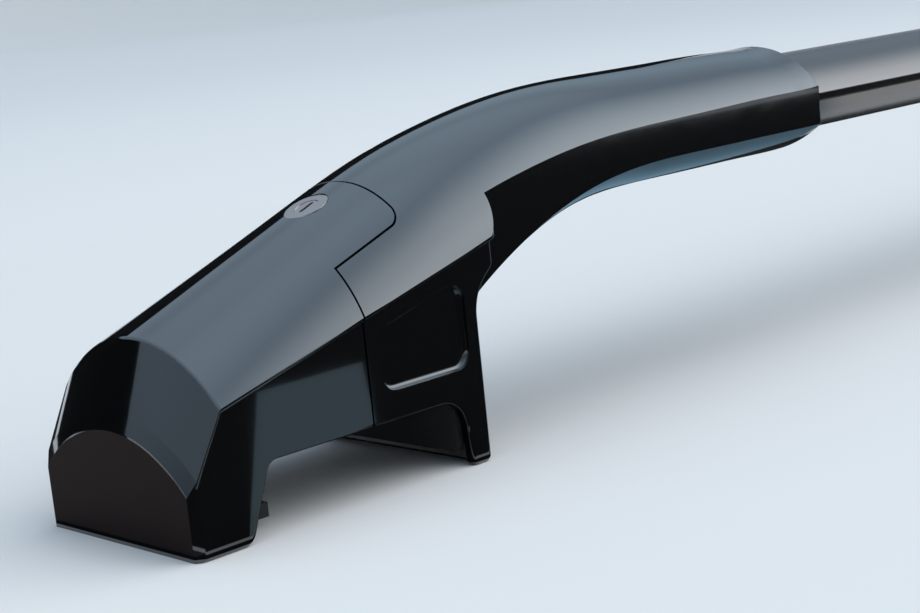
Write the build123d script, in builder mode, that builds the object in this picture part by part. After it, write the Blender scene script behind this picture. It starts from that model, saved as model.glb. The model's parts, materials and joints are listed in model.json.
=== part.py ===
from build123d import *
from math import atan2, cos, radians, sin, sqrt, tan
import os

# A pair of roof crossbars. Each bar is an oval extrusion carried by two identical moulded feet.
# One foot is drawn in its own frame, with X inward along the bar from the end face, Y across the
# foot, Z up from the ground line, and is then placed at the four corners of the pair.

# The pair
overall_length = 1160.0
bar_spacing = 700.0

# Bar extrusion
bar_width = 50.0
bar_underside = 69.8
bar_belly_rise = 12.6
bar_side_height = 2.8
bar_crown_rise = 13.6
bar_wall = 2.2
bar_groove_depth = 0.9
bar_groove_height = 2.2
bar_web = 2.0
bar_web_spacing = 18.0
bar_strip = 6.0
bar_end_gap = 0.5

# Arm that holds the end of the bar
arm_length = 288.0
socket_depth = 88.0
socket_clearance = 0.3
arm_roof_wall = 4.2
arm_floor_wall = 4.5
arm_side_wall = 3.7
arm_crown_rise = 14.8
arm_belly_rise = 10.0
arm_neck_flare = 2.0
arm_crown_blend = 45.0
arm_bend_start = 200.0
arm_bend_radius = 166.0
arm_skin = 4.0
bulkhead = 5.0
arm_mouth_round = 0.6
arm_stations = 7
arm_hollow_stations = 4

# Hood, the crowned top of the foot
foot_width = 72.0
hood_length = 117.0
hood_angle = 21.5
ridge_bend_radius = 280.0
bevel_length = 11.5
bevel_top = 54.2
edge_start = 37.0
edge_angle = 14.8
crown_band = 1.2
hood_lip = 1.0
edge_round = 0.7
skin = 3.0
hood_stations = 6
hood_end_round = 4.0
hood_end_stations = 5

# End face
end_arch_top = 31.7
end_shoulder = 17.3
end_corner = 2.2
bevel_round = 1.4
end_round = 1.0

# Side walls, seen from the side
jaw_toe = 18.0
jaw_root = 26.0
wall_underside = 20.5
jaw_toe_round = 4.5
jaw_root_round = 4.0
leg_inner = 106.0
leg_toe = 7.5
leg_lean = 1.5
leg_arch_round = 9.0
leg_toe_round = 2.0
waist_height = 50.0
waist_round = 15.0
skirt_height = 56.5
skirt_round = 2.5
wall_round = 1.2
wall_round_clear = 3.0
scoop_depth = 1.8
scoop_margin = 5.0
scoop_round = 5.0
scoop_floor = 29.0
scoop_floor_round = 1.5

# Seam between cover and body, and the tongue of the cover
seam_position = 62.5
seam_gap = 0.6
tongue_length = 26.0
tongue_width = 52.0
tongue_corner = 4.0
shelf_clearance = 0.4
shelf_thickness = 3.0
shelf_rim = 5.0
shelf_bite = 0.2

# Lock
lock_offset = 13.0
bezel_diameter = 13.6
bezel_thickness = 1.3
bezel_sink = 0.3
barrel_diameter = 11.0
barrel_depth = 16.0
barrel_clearance = 0.15
plug_diameter = 7.6
plug_clearance = 0.05
plug_sink = 0.2
plug_tail_diameter = 5.0
plug_tail_length = 3.6
keyway_length = 5.6
keyway_width = 1.3
keyway_depth = 7.0
cam_gap = 0.3
cam_thickness = 2.6
cam_width = 8.0
cam_reach = 13.0
slot_clearance = 0.5
lock_boss_wall = 4.0
lock_boss_gap = 0.2
lock_boss_sink = 5.4

# Clamp base, inside the foot
base_underside = 23.0
base_thickness = 5.0
base_clearance = 0.6
base_start = 30.0
nut_block_start = 36.0
nut_block_end = 62.0
nut_block_width = 26.0
nut_block_height = 15.0
inner_jaw_thickness = 3.0
inner_jaw_foot = 2.0
screw_position = 92.0
screw_spread = 44.0
screw_boss_diameter = 9.0
base_screw_diameter = 5.0
base_screw_head = 9.6
base_screw_length = 22.0
base_screw_socket = 3.0
countersink_angle = 90.0
screw_clearance = 0.1
base_corner = 3.0

# Claw, bolt and nut
claw_outer = 22.5
claw_thickness = 4.5
claw_side_gap = 8.0
claw_foot = 2.5
claw_hook_height = 4.0
claw_hook_reach = 4.5
claw_shoulder = 38.0
claw_flange_reach = 25.0
claw_flange_width = 22.0
claw_slide_gap = 0.3
claw_bend_round = 3.0
bolt_diameter = 8.0
bolt_height = 35.0
bolt_head_diameter = 13.0
bolt_head_height = 8.0
bolt_socket = 6.0
bolt_socket_depth = 4.5
bolt_chamfer = 0.6
bolt_reach = 37.5
bolt_bore_clearance = 0.5
nut_width = 13.0
nut_thickness = 6.5
nut_position = 48.0
nut_pocket_clearance = 0.1
thread_clearance = 0.05

# Rubber pads
base_pad_thickness = 3.0
base_pad_start = 33.0
base_pad_end = 95.0
base_pad_inset = 1.5
jaw_pad_thickness = 2.5
jaw_pad_foot = 4.0
claw_pad_thickness = 2.5
pad_top_gap = 0.5
pad_side_inset = 1.0
pad_round = 2.0

# Screws that hold the bar in the arm
bar_screw_diameter = 6.0
bar_screw_head = 10.5
bar_screw_head_height = 3.0
bar_screw_recess = 3.0
bar_screw_head_round = 1.5
bar_screw_socket = 4.0
bar_screw_socket_depth = 2.0
bar_screw_setback = 22.0
bar_screw_pitch = 40.0

# Sizes that follow from those above
foot_half = foot_width / 2
wall_half = foot_half - hood_lip
inner_half = wall_half - skin
bar_half = bar_width / 2
bar_side_low = bar_underside + bar_belly_rise
bar_side_high = bar_side_low + bar_side_height
bar_top = bar_side_high + bar_crown_rise
arm_top = bar_top + socket_clearance + arm_roof_wall
arm_underside = bar_underside - socket_clearance - arm_floor_wall
arm_half = bar_half + socket_clearance + arm_side_wall
socket_floor = arm_length - socket_depth
ridge_corner = bevel_length + (arm_top - bevel_top) / tan(radians(hood_angle))
ridge_tangent = ridge_bend_radius * tan(radians(hood_angle / 2))
ridge_bend_start = ridge_corner - ridge_tangent * cos(radians(hood_angle))
ridge_bend_end = ridge_corner + ridge_tangent
hood_round_start = hood_length - hood_end_round
skirt_end = hood_round_start + hood_lip
bevel_lean = atan2(bevel_length, bevel_top - end_arch_top)
bevel_shift = skin / cos(bevel_lean)
tongue_end = seam_position + tongue_length
leg_outer = leg_inner - leg_toe - leg_lean
base_top = base_underside + base_thickness
block_top = base_top + nut_block_height
base_half = inner_half - base_clearance
base_end = leg_inner - skin - base_clearance
claw_inner = claw_outer + claw_thickness
claw_half = inner_half - claw_side_gap
inner_jaw_face = base_end - inner_jaw_thickness
pad_top = base_underside - base_pad_thickness - pad_top_gap
tall = arm_top + foot_width
cut_margin = skin


def arc_drop(radius, half_chord):
    """Fall of a circular arc from its top to the ends of its chord."""
    return radius - sqrt(radius**2 - half_chord**2)


def arc_radius(half_chord, rise):
    """Radius of the arc with this half chord and rise."""
    return (half_chord**2 + rise**2) / (2 * rise)


def ridge_height(x):
    """Top line of the foot: a straight slope, a tangent bend and the level top of the arm."""
    if x <= ridge_bend_start:
        return bevel_top + (x - bevel_length) * tan(radians(hood_angle))
    return arm_top - arc_drop(ridge_bend_radius, max(0.0, ridge_bend_end - x))


def edge_height(x):
    """Crisp lower edge of the hood."""
    return edge_start + (x - bevel_length) * tan(radians(edge_angle))


def hood_radius(x):
    """Radius of the hood's crown, which springs from just above the edge."""
    return arc_radius(foot_half, ridge_height(x) - edge_height(x) - crown_band)


def crown_height(x, y):
    """Height of the hood's top surface."""
    return ridge_height(x) - arc_drop(hood_radius(x), y)


def arm_half_width(x):
    """Half width of the arm, a little wider at the neck than at the mouth."""
    along = (arm_length - x) / (arm_length - hood_length)
    return arm_half + arm_neck_flare * along


def arm_radius(x):
    """Crown radius of the arm: the hood's where they meet, then the arm's own."""
    mouth = arc_radius(arm_half, arm_crown_rise)
    part = min(1.0, max(0.0, (x - hood_length) / arm_crown_blend))
    ease = part * part * (3 - 2 * part)
    return hood_radius(min(x, hood_length)) * (1 - ease) + mouth * ease


def belly_height(x):
    """Lowest line of the arm, which bends down into the leg."""
    return arm_underside - arc_drop(arm_bend_radius, max(0.0, arm_bend_start - x))


def oval_section(x, half, top, crown, bottom, belly):
    """Section across the bar: a crown arc, two upright sides and a belly arc."""
    shoulder = top - arc_drop(crown, half)
    hip = bottom + arc_drop(belly, half)
    with BuildSketch(Plane.YZ.offset(x)) as section:
        with BuildLine():
            ThreePointArc((-half, shoulder), (0, top), (half, shoulder))
            Line((half, shoulder), (half, hip))
            ThreePointArc((half, hip), (0, bottom), (-half, hip))
            Line((-half, hip), (-half, shoulder))
        make_face()
    return section.sketch


def arm_section(x, inset=0.0):
    """The arm at one station, or its hollow when inset."""
    half = arm_half_width(x)
    belly = arc_radius(half, arm_belly_rise)
    return oval_section(
        x,
        half - inset,
        ridge_height(x) - inset,
        arm_radius(x) - inset,
        belly_height(x) + inset,
        belly - inset,
    )


def bar_section(x, inset=0.0):
    """The bar's oval outline, grown by a negative inset for its socket."""
    return oval_section(
        x,
        bar_half - inset,
        bar_top - inset,
        arc_radius(bar_half, bar_crown_rise) - inset,
        bar_underside + inset,
        arc_radius(bar_half, bar_belly_rise) - inset,
    )


def arched_section(x, half, floor, shoulder, top, rounded=False):
    """Section with a flat floor, upright sides and an arched top, sharp or with rounded edges."""
    with BuildSketch(Plane.YZ.offset(x)) as section:
        with BuildLine():
            Line((-half, floor), (half, floor))
            Line((half, floor), (half, shoulder))
            ThreePointArc((half, shoulder), (0, top), (-half, shoulder))
            Line((-half, shoulder), (-half, floor))
        make_face()
        if rounded:
            fillet(section.vertices().group_by(Axis.Y)[0], edge_round)
    return section.sketch


def hood_half_width(x):
    """Half width of the hood, which rounds in at its inner end."""
    return foot_half - arc_drop(hood_end_round, max(0.0, x - hood_round_start))


def hood_section(x, inset=0.0):
    """The hood at one station, or a copy sunk below its surface by the inset."""
    half = hood_half_width(x) - inset
    top = ridge_height(x) - inset
    shoulder = top - arc_drop(hood_radius(x) - inset, half)
    return arched_section(x, half, edge_height(x) - inset, shoulder, top, rounded=inset == 0)


def stations(start, end, count):
    """Evenly spaced stations along the foot, both ends included."""
    return [start + (end - start) * i / (count - 1) for i in range(count)]


def hood_sections(start, end, inset=0.0):
    """Sections of the hood for a loft between two stations."""
    return [hood_section(x, inset) for x in stations(start, end, hood_stations)]


def wall_sketch():
    """Side view of the foot's walls: jaw, underside, leg, waist and skirt."""
    outline = [
        (0, 0),
        (jaw_toe, 0),
        (jaw_root, wall_underside),
        (leg_outer, wall_underside),
        (leg_outer + leg_lean, 0),
        (leg_inner, 0),
        (leg_inner, waist_height),
        (skirt_end, skirt_height),
        (skirt_end, edge_height(skirt_end) + crown_band / 2),
        (bevel_length, edge_height(bevel_length) + crown_band / 2),
        (0, end_shoulder),
    ]
    rounds = [
        0,
        jaw_toe_round,
        jaw_root_round,
        leg_arch_round,
        leg_toe_round,
        leg_toe_round,
        waist_round,
        skirt_round,
        0,
        0,
        0,
    ]
    with BuildSketch(Plane.XZ) as outline_sketch:
        with BuildLine():
            FilletPolyline(*outline, radius=rounds, close=True)
        make_face()
    return outline_sketch.sketch


def below_hood(edge):
    """Whether an edge of the side walls lies clear of the hood and of the end corners."""
    middle = edge.center()
    return middle.X > end_corner and middle.Z < edge_height(middle.X) - wall_round_clear


def hollow_sketch():
    """Side view of the space between the walls, open at the bottom."""
    low = -cut_margin
    lift = skin - crown_band / 2
    with BuildSketch(Plane.XZ) as outline_sketch:
        with BuildLine():
            Polyline(
                (skin, low),
                (leg_inner - skin, low),
                (leg_inner - skin, edge_height(leg_inner - skin) - lift),
                (bevel_length + bevel_shift, edge_height(bevel_length + bevel_shift) - lift),
                (skin, end_shoulder - lift),
                close=True,
            )
        make_face()
    return outline_sketch.sketch


def tongue_sketch(grow):
    """Plan of the tongue, running back under the cover."""
    with BuildSketch() as plan:
        with Locations((tongue_end + grow, 0)):
            Rectangle(
                tongue_length + tongue_corner + grow,
                tongue_width + 2 * grow,
                align=(Align.MAX, Align.CENTER),
            )
        fillet(plan.vertices().group_by(Axis.X)[-1], tongue_corner + grow)
    return plan.sketch


def seam_sketch(grow):
    """Plan of the cover's side of the seam, with the tongue."""
    with BuildSketch() as plan:
        add(tongue_sketch(grow))
        with Locations((seam_position + grow, 0)):
            Rectangle(seam_position + foot_width, 2 * foot_width, align=(Align.MAX, Align.CENTER))
    return plan.sketch


# The skin of the whole foot, before the seam divides it into cover and body
with BuildPart() as foot_skin:
    extrude(wall_sketch(), wall_half, both=True)
    corner_edges = foot_skin.edges().filter_by(Axis.Z).group_by(Axis.X)[0]
    chamfer(corner_edges, end_corner)
    wall_faces = foot_skin.faces().sort_by(Axis.Y)
    wall_edges = wall_faces[0].edges() + wall_faces[-1].edges()
    fillet(wall_edges.filter_by(below_hood), wall_round)
    corner_part = end_corner / bevel_length
    corner_rise = (bevel_top - end_arch_top) * corner_part
    corner_lift = (edge_start + crown_band - end_shoulder) * corner_part
    loft(
        sections=[
            arched_section(
                0,
                wall_half - end_corner,
                end_shoulder - crown_band,
                end_shoulder,
                end_arch_top,
                rounded=True,
            ),
            arched_section(
                end_corner,
                wall_half,
                end_shoulder + corner_lift - crown_band,
                end_shoulder + corner_lift,
                end_arch_top + corner_rise,
                rounded=True,
            ),
            hood_section(bevel_length),
        ],
        ruled=True,
    )
    loft(sections=hood_sections(bevel_length, hood_round_start))
    loft(sections=[hood_section(x) for x in stations(hood_round_start, hood_length, hood_end_stations)])
    bevel_edges = foot_skin.edges().filter_by_position(Axis.X, bevel_length - seam_gap, bevel_length + seam_gap)
    fillet(bevel_edges.sort_by(SortBy.LENGTH)[-1], bevel_round)
    fillet(foot_skin.edges().group_by(Axis.X)[0].sort_by(SortBy.LENGTH)[-1], end_round)
    extrude(hollow_sketch(), inner_half, both=True, mode=Mode.SUBTRACT)
    hollow_start = bevel_length + bevel_shift
    loft(
        sections=[
            arched_section(bevel_shift, inner_half, end_shoulder - skin, end_shoulder, end_arch_top),
            hood_section(hollow_start, skin),
        ],
        ruled=True,
        mode=Mode.SUBTRACT,
    )
    loft(sections=hood_sections(hollow_start, hood_length - skin, skin), mode=Mode.SUBTRACT)


# The arm, down to where its belly runs into the leg. Above the skirt the hood takes over.
with BuildPart() as arm:
    neck_start = leg_inner - skin / 2
    loft(sections=[arm_section(x) for x in [neck_start] + stations(hood_length, arm_length, arm_stations)])
    fillet(arm.edges().group_by(Axis.X)[-1], arm_mouth_round)
    neck_split = (skirt_height + edge_height(hood_length)) / 2
    with BuildSketch(Plane.XZ):
        with BuildLine():
            Polyline(
                (0, neck_split),
                (hood_length, neck_split),
                (hood_length, tall),
                (0, tall),
                close=True,
            )
        make_face()
    extrude(amount=foot_width, both=True, mode=Mode.SUBTRACT)

# The shelf under the tongue, with a rim that grips the skin round it
shelf_depth = skin + shelf_clearance
shelf_end = tongue_end + shelf_rim
with BuildPart() as tongue_shelf:
    loft(sections=hood_sections(seam_position, shelf_end, skin - shelf_bite))
    loft(sections=hood_sections(seam_position, shelf_end, shelf_depth + shelf_thickness), mode=Mode.SUBTRACT)
    with BuildSketch():
        with Locations((shelf_end, 0)):
            Rectangle(
                shelf_end - seam_position - seam_gap / 2,
                tongue_width + 2 * shelf_rim,
                align=(Align.MAX, Align.CENTER),
            )
    extrude(amount=tall, mode=Mode.INTERSECT)

# The space that the tongue lies in
with BuildPart() as tongue_space:
    extrude(Plane.XY.offset(edge_height(shelf_end)) * tongue_sketch(seam_gap / 2), tall)
    loft(sections=hood_sections(seam_position - skin, shelf_end, shelf_depth), mode=Mode.SUBTRACT)

# Scoop in the side of the leg, with a softly rounded floor
scoop_start = seam_position + scoop_margin
scoop_end = leg_inner - scoop_margin
with BuildPart() as leg_scoop:
    with BuildSketch(Plane.XZ.offset(wall_half - scoop_depth)):
        with BuildLine():
            FilletPolyline(
                (scoop_start, scoop_floor),
                (scoop_end, scoop_floor),
                (scoop_end, edge_height(scoop_end) - scoop_margin),
                (scoop_start, edge_height(scoop_start) - scoop_margin),
                radius=scoop_round,
                close=True,
            )
        make_face()
    extrude(amount=2 * scoop_depth)
    fillet(leg_scoop.faces().sort_by(Axis.Y)[-1].edges(), scoop_floor_round)

# The lock stands square to the slope of the hood
lock_position = seam_position + lock_offset
lock_plane = Plane(
    origin=(lock_position, 0, ridge_height(lock_position)),
    x_dir=(cos(radians(hood_angle)), 0, sin(radians(hood_angle))),
    z_dir=(-sin(radians(hood_angle)), 0, cos(radians(hood_angle))),
)
slot_half = barrel_diameter / 2 + slot_clearance
lock_boss_depth = barrel_depth - lock_boss_gap
lock_boss_half = slot_half + lock_boss_wall

with BuildPart() as foot_body:
    add(foot_skin.part)
    extrude(seam_sketch(seam_gap / 2), tall, mode=Mode.SUBTRACT)
    add(arm.part)
    hollow_end = socket_floor - bulkhead
    hollow_stations = [leg_inner - skin - base_clearance] + stations(hood_length, hollow_end, arm_hollow_stations)
    loft(sections=[arm_section(x, arm_skin) for x in hollow_stations], mode=Mode.SUBTRACT)
    extrude(bar_section(socket_floor, -socket_clearance), socket_depth, mode=Mode.SUBTRACT)
    add(tongue_shelf.part)
    # Posts for the screws of the clamp base
    post_top = crown_height(screw_position, (screw_spread + screw_boss_diameter) / 2) - skin / 2
    with BuildSketch(Plane.XY.offset(base_top)):
        with GridLocations(0, screw_spread, 1, 2):
            with Locations((screw_position, 0)):
                Circle(screw_boss_diameter / 2)
    extrude(amount=post_top - base_top)
    with BuildSketch(Plane.XY.offset(base_top)):
        with GridLocations(0, screw_spread, 1, 2):
            with Locations((screw_position, 0)):
                Circle(base_screw_diameter / 2 + screw_clearance)
    extrude(amount=base_screw_length, mode=Mode.SUBTRACT)
    # Boss that the lock's cam catches under, with a slot open towards the cover
    with BuildSketch(lock_plane.offset(-lock_boss_depth)):
        with Locations((lock_boss_half, 0)):
            Rectangle(2 * lock_boss_half + skin, 2 * lock_boss_half, align=(Align.MAX, Align.CENTER))
    extrude(amount=lock_boss_depth - lock_boss_sink)
    add(tongue_space.part, mode=Mode.SUBTRACT)
    with BuildSketch(lock_plane):
        Circle(slot_half)
        Rectangle(2 * foot_width, 2 * slot_half, align=(Align.MAX, Align.CENTER))
    extrude(amount=2 * barrel_depth, both=True, mode=Mode.SUBTRACT)
    add(leg_scoop.part, mode=Mode.SUBTRACT)
    add(mirror(leg_scoop.part, Plane.XZ), mode=Mode.SUBTRACT)
    # Recesses for the heads of the bar screws
    screw_line = arm_length - bar_screw_setback - bar_screw_pitch / 2
    with BuildSketch(Plane.XY.offset(arm_underside - bar_screw_recess)):
        with Locations((screw_line, 0)):
            with GridLocations(bar_screw_pitch, 0, 2, 1):
                Circle(bar_screw_head / 2 + screw_clearance)
    extrude(amount=2 * bar_screw_recess, mode=Mode.SUBTRACT)
    with BuildSketch(Plane.XY.offset(arm_underside)):
        with Locations((screw_line, 0)):
            with GridLocations(bar_screw_pitch, 0, 2, 1):
                Circle(bar_screw_diameter / 2 + screw_clearance)
    extrude(amount=2 * arm_floor_wall, mode=Mode.SUBTRACT)

with BuildPart() as end_cover:
    add(foot_skin.part)
    extrude(seam_sketch(-seam_gap / 2), tall, mode=Mode.INTERSECT)
    with BuildSketch(lock_plane.offset(-bezel_sink - bezel_thickness)):
        Circle(bezel_diameter / 2 + barrel_clearance)
    extrude(amount=skin, mode=Mode.SUBTRACT)
    with BuildSketch(lock_plane):
        Circle(barrel_diameter / 2 + barrel_clearance)
    extrude(amount=2 * skin, both=True, mode=Mode.SUBTRACT)


with BuildPart() as lock_barrel:
    with BuildSketch(lock_plane.offset(-bezel_sink - bezel_thickness)):
        Circle(bezel_diameter / 2)
    extrude(amount=bezel_thickness)
    with BuildSketch(lock_plane.offset(-barrel_depth)):
        Circle(barrel_diameter / 2)
    extrude(amount=barrel_depth - bezel_sink - bezel_thickness)
    with BuildSketch(lock_plane):
        Circle(plug_diameter / 2 + plug_clearance)
    extrude(amount=-2 * barrel_depth, mode=Mode.SUBTRACT)

with BuildPart() as lock_plug:
    plug_top = -bezel_sink - plug_sink
    with BuildSketch(lock_plane.offset(plug_top)):
        Circle(plug_diameter / 2)
    extrude(amount=-barrel_depth - plug_top)
    with BuildSketch(lock_plane.offset(-barrel_depth)):
        Circle(plug_tail_diameter / 2)
    extrude(amount=-plug_tail_length)
    with BuildSketch(lock_plane.offset(plug_top)):
        SlotOverall(keyway_length, keyway_width)
    extrude(amount=-keyway_depth, mode=Mode.SUBTRACT)

# At rest the cam points out along its slot, so that the cover is free to come off
with BuildPart() as lock_cam:
    with BuildSketch(lock_plane.offset(-barrel_depth - cam_gap)):
        with Locations((-cam_reach / 2, 0)):
            SlotCenterToCenter(cam_reach, cam_width)
        Circle(plug_tail_diameter / 2 + plug_clearance, mode=Mode.SUBTRACT)
    extrude(amount=-cam_thickness)

with BuildPart() as clamp_base:
    with BuildSketch(Plane.XY.offset(base_underside)) as plate:
        with Locations((base_end, 0)):
            Rectangle(base_end - base_start, 2 * base_half, align=(Align.MAX, Align.CENTER))
        fillet(plate.vertices().group_by(Axis.X)[0], base_corner)
    extrude(amount=base_thickness)
    with BuildSketch(Plane.XY.offset(base_top)):
        with Locations((nut_block_start, 0)):
            Rectangle(nut_block_end - nut_block_start, nut_block_width, align=(Align.MIN, Align.CENTER))
    extrude(amount=nut_block_height)
    # The fixed jaw that hangs down on the rail's inner side
    with BuildSketch(Plane.YZ.offset(base_end)):
        with Locations((0, base_underside)):
            Rectangle(2 * base_half, base_underside - inner_jaw_foot, align=(Align.CENTER, Align.MAX))
    extrude(amount=-inner_jaw_thickness)
    # Bore for the bolt and pocket for its nut
    with BuildSketch(Plane.YZ.offset(nut_block_start)):
        with Locations((0, bolt_height)):
            Circle(bolt_diameter / 2 + bolt_bore_clearance)
    extrude(amount=nut_block_end - nut_block_start, mode=Mode.SUBTRACT)
    with BuildSketch(Plane.XY.offset(bolt_height - nut_width / 2 - nut_pocket_clearance)):
        with Locations((nut_position - nut_pocket_clearance, 0)):
            Rectangle(
                nut_thickness + 2 * nut_pocket_clearance,
                nut_width + 2 * nut_pocket_clearance,
                align=(Align.MIN, Align.CENTER),
            )
    extrude(amount=nut_block_height, mode=Mode.SUBTRACT)
    with Locations(Plane(origin=(screw_position, 0, base_underside), z_dir=(0, 0, -1))):
        with GridLocations(0, screw_spread, 1, 2):
            CounterSinkHole(
                base_screw_diameter / 2 + screw_clearance,
                base_screw_head / 2 + screw_clearance,
                depth=base_thickness,
                counter_sink_angle=countersink_angle,
            )

with BuildPart() as base_screws:
    head_depth = (base_screw_head - base_screw_diameter) / 2 / tan(radians(countersink_angle / 2))
    with Locations((screw_position, 0, base_underside)):
        with GridLocations(0, screw_spread, 1, 2):
            Cone(
                base_screw_head / 2,
                base_screw_diameter / 2,
                head_depth,
                align=(Align.CENTER, Align.CENTER, Align.MIN),
            )
    with Locations((screw_position, 0, base_underside + head_depth)):
        with GridLocations(0, screw_spread, 1, 2):
            Cylinder(
                base_screw_diameter / 2,
                base_screw_length - head_depth,
                align=(Align.CENTER, Align.CENTER, Align.MIN),
            )
    with BuildSketch(Plane.XY.offset(base_underside)):
        with Locations((screw_position, 0)):
            with GridLocations(0, screw_spread, 1, 2):
                RegularPolygon(base_screw_socket / 2, 6, major_radius=False)
    extrude(amount=head_depth, mode=Mode.SUBTRACT)

# The claw is one bent strip: a hook at the foot, an upright and a flange that rides on the nut block
with BuildPart() as clamp_claw:
    flange_under = block_top + claw_slide_gap
    flange_top = flange_under + claw_thickness
    hook_top = claw_foot + claw_hook_height
    with BuildSketch(Plane.XZ):
        with BuildLine():
            FilletPolyline(
                (claw_outer, claw_foot),
                (claw_inner + claw_hook_reach, claw_foot),
                (claw_inner + claw_hook_reach, hook_top),
                (claw_inner, hook_top),
                (claw_inner, flange_under),
                (claw_inner + claw_flange_reach, flange_under),
                (claw_inner + claw_flange_reach, flange_top),
                (claw_outer, flange_top),
                radius=[claw_bend_round, 0, 0, 0, 0, 0, 0, claw_bend_round],
                close=True,
            )
        make_face()
    extrude(amount=claw_half, both=True)
    with BuildSketch(Plane.YZ):
        with BuildLine():
            Polyline(
                (-claw_half, 0),
                (claw_half, 0),
                (claw_half, claw_shoulder),
                (claw_flange_width / 2, flange_under),
                (claw_flange_width / 2, tall),
                (-claw_flange_width / 2, tall),
                (-claw_flange_width / 2, flange_under),
                (-claw_half, claw_shoulder),
                close=True,
            )
        make_face()
    extrude(amount=arm_length, mode=Mode.INTERSECT)
    with BuildSketch(Plane.YZ.offset(claw_outer)):
        with Locations((0, bolt_height)):
            Circle(bolt_diameter / 2 + bolt_bore_clearance)
    extrude(amount=claw_thickness, mode=Mode.SUBTRACT)

with BuildPart() as clamp_bolt:
    with BuildSketch(Plane.YZ.offset(claw_outer)):
        with Locations((0, bolt_height)):
            Circle(bolt_head_diameter / 2)
    extrude(amount=-bolt_head_height)
    with BuildSketch(Plane.YZ.offset(claw_outer)):
        with Locations((0, bolt_height)):
            Circle(bolt_diameter / 2)
    extrude(amount=bolt_reach)
    chamfer(clamp_bolt.edges().filter_by(GeomType.CIRCLE).group_by(Axis.X)[0], bolt_chamfer)
    chamfer(clamp_bolt.edges().filter_by(GeomType.CIRCLE).group_by(Axis.X)[-1], bolt_chamfer)
    with BuildSketch(Plane.YZ.offset(claw_outer - bolt_head_height)):
        with Locations((0, bolt_height)):
            RegularPolygon(bolt_socket / 2, 6, major_radius=False)
    extrude(amount=bolt_socket_depth, mode=Mode.SUBTRACT)

with BuildPart() as clamp_nut:
    with BuildSketch(Plane.YZ.offset(nut_position)):
        with Locations((0, bolt_height)):
            Rectangle(nut_width, nut_width)
            Circle(bolt_diameter / 2 + thread_clearance, mode=Mode.SUBTRACT)
    extrude(amount=nut_thickness)

with BuildPart() as base_pad:
    with BuildSketch(Plane.XY.offset(base_underside)):
        with Locations(((base_pad_start + base_pad_end) / 2, 0)):
            RectangleRounded(base_pad_end - base_pad_start, 2 * (base_half - base_pad_inset), pad_round)
    extrude(amount=-base_pad_thickness)

with BuildPart() as jaw_pad:
    with BuildSketch(Plane.YZ.offset(inner_jaw_face)):
        with Locations((0, (jaw_pad_foot + pad_top) / 2)):
            RectangleRounded(2 * (base_half - pad_side_inset), pad_top - jaw_pad_foot, pad_round)
    extrude(amount=-jaw_pad_thickness)

with BuildPart() as claw_pad:
    with BuildSketch(Plane.YZ.offset(claw_inner)):
        with Locations((0, (hook_top + pad_top) / 2)):
            RectangleRounded(2 * (claw_half - pad_side_inset), pad_top - hook_top, pad_round)
    extrude(amount=claw_pad_thickness)

with BuildPart() as bar_screws:
    with Locations((screw_line, 0, arm_underside + bar_screw_recess)):
        with GridLocations(bar_screw_pitch, 0, 2, 1):
            Cylinder(
                bar_screw_head / 2,
                bar_screw_head_height,
                align=(Align.CENTER, Align.CENTER, Align.MAX),
            )
    fillet(bar_screws.edges().filter_by(GeomType.CIRCLE).group_by(Axis.Z)[0], bar_screw_head_round)
    shank_end = bar_underside + bar_wall + bar_strip
    with BuildSketch(Plane.XY.offset(arm_underside + bar_screw_recess)):
        with Locations((screw_line, 0)):
            with GridLocations(bar_screw_pitch, 0, 2, 1):
                Circle(bar_screw_diameter / 2)
    extrude(amount=shank_end - arm_underside - bar_screw_recess)
    with BuildSketch(Plane.XY.offset(arm_underside + bar_screw_recess - bar_screw_head_height)):
        with Locations((screw_line, 0)):
            with GridLocations(bar_screw_pitch, 0, 2, 1):
                RegularPolygon(bar_screw_socket / 2, 6, major_radius=False)
    extrude(amount=bar_screw_socket_depth, mode=Mode.SUBTRACT)

# The bar, hollow but for two webs and the thick strip between them that the screws run into
bar_length = overall_length - 2 * (socket_floor + bar_end_gap)
with BuildPart() as bar_bore:
    extrude(bar_section(-bar_length / 2, bar_wall), bar_length)
    with BuildSketch(Plane.YZ.offset(-bar_length / 2)):
        with Locations((-bar_web_spacing / 2, bar_underside), (bar_web_spacing / 2, bar_underside)):
            Rectangle(bar_web, tall, align=(Align.CENTER, Align.MIN))
        with Locations((0, bar_underside)):
            Rectangle(bar_web_spacing, bar_wall + bar_strip, align=(Align.CENTER, Align.MIN))
    extrude(amount=bar_length, mode=Mode.SUBTRACT)

with BuildPart() as bar:
    extrude(bar_section(-bar_length / 2), bar_length)
    add(bar_bore.part, mode=Mode.SUBTRACT)
    with BuildSketch(Plane.YZ.offset(-bar_length / 2)):
        groove_middle = (bar_side_low + bar_side_high) / 2
        with Locations((-bar_half, groove_middle), (bar_half, groove_middle)):
            Rectangle(2 * bar_groove_depth, bar_groove_height)
    extrude(amount=bar_length, mode=Mode.SUBTRACT)
    screw_middle = overall_length / 2 - screw_line
    with BuildSketch(Plane.XY.offset(bar_underside)):
        with GridLocations(2 * screw_middle, 0, 2, 1):
            with GridLocations(bar_screw_pitch, 0, 2, 1):
                Circle(bar_screw_diameter / 2 + thread_clearance)
    extrude(amount=bar_wall + bar_strip, mode=Mode.SUBTRACT)

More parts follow.
